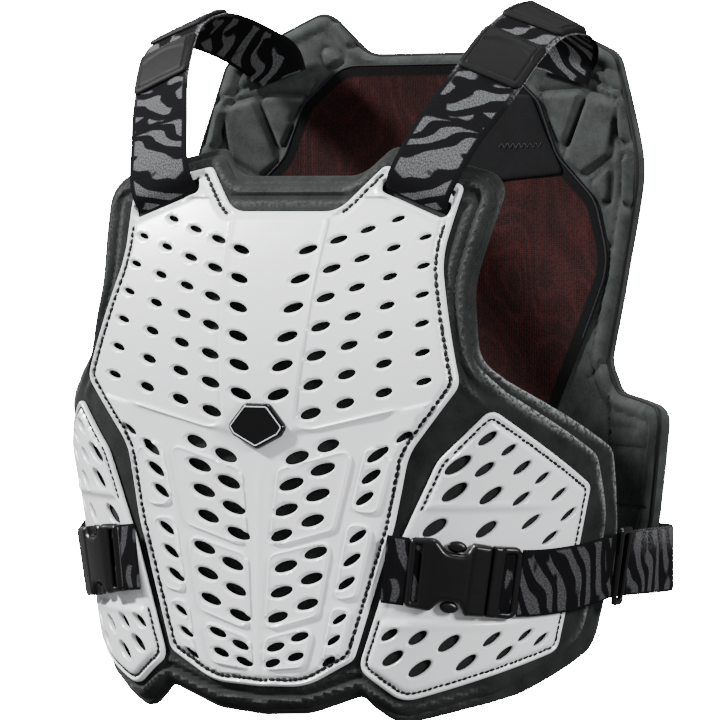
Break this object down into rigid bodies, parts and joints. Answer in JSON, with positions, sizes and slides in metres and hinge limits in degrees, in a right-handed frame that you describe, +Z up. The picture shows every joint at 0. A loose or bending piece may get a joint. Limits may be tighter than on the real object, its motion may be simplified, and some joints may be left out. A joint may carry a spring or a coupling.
{
  "type": "roost deflector",
  "caption": "Chest and back protector vest: a vented hard front plate and side plates on foam, a foam back pad with a mesh liner, shoulder straps, and waist straps with side-release buckles.",
  "frame": {"origin": "middle point between the two shoulders, at the height where the shoulder straps rest on them", "axes": "+Z up the wearer's body, +Y from the chest towards the back, +X towards the wearer's left"},
  "size_m": [0.4758, 0.2699, 0.5353],
  "materials": {
    "white_plate": "satin moulded plastic",
    "front_foam": "fabric faced foam",
    "back_foam": "fabric faced foam",
    "liner_mesh": "open knit mesh",
    "liner_band": "smooth woven cloth",
    "elastic": "woven elastic webbing",
    "tab_rubber": "soft moulded rubber",
    "buckle_plastic": "satin moulded plastic",
    "badge_plastic": "glossy moulded plastic"
  },
  "bodies": {
    "root": {"front_shell": "white_plate", "front_foam": "front_foam", "flank_shell_left": "white_plate", "flank_shell_right": "white_plate", "badge": "badge_plastic", "back_foam": "back_foam", "back_liner": "liner_mesh", "liner_band": "liner_band", "shoulder_strap_left": "elastic", "shoulder_tab_front_left": "tab_rubber", "shoulder_tab_top_left": "tab_rubber", "waist_strap_front_left": "elastic", "buckle_female_left": "buckle_plastic", "buckle_male_left": "buckle_plastic", "waist_strap_back_left": "elastic", "slider_left": "buckle_plastic", "shoulder_strap_right": "elastic", "shoulder_tab_front_right": "tab_rubber", "shoulder_tab_top_right": "tab_rubber", "waist_strap_front_right": "elastic", "buckle_female_right": "buckle_plastic", "buckle_male_right": "buckle_plastic", "waist_strap_back_right": "elastic", "slider_right": "buckle_plastic"}
  },
  "joints": []
}
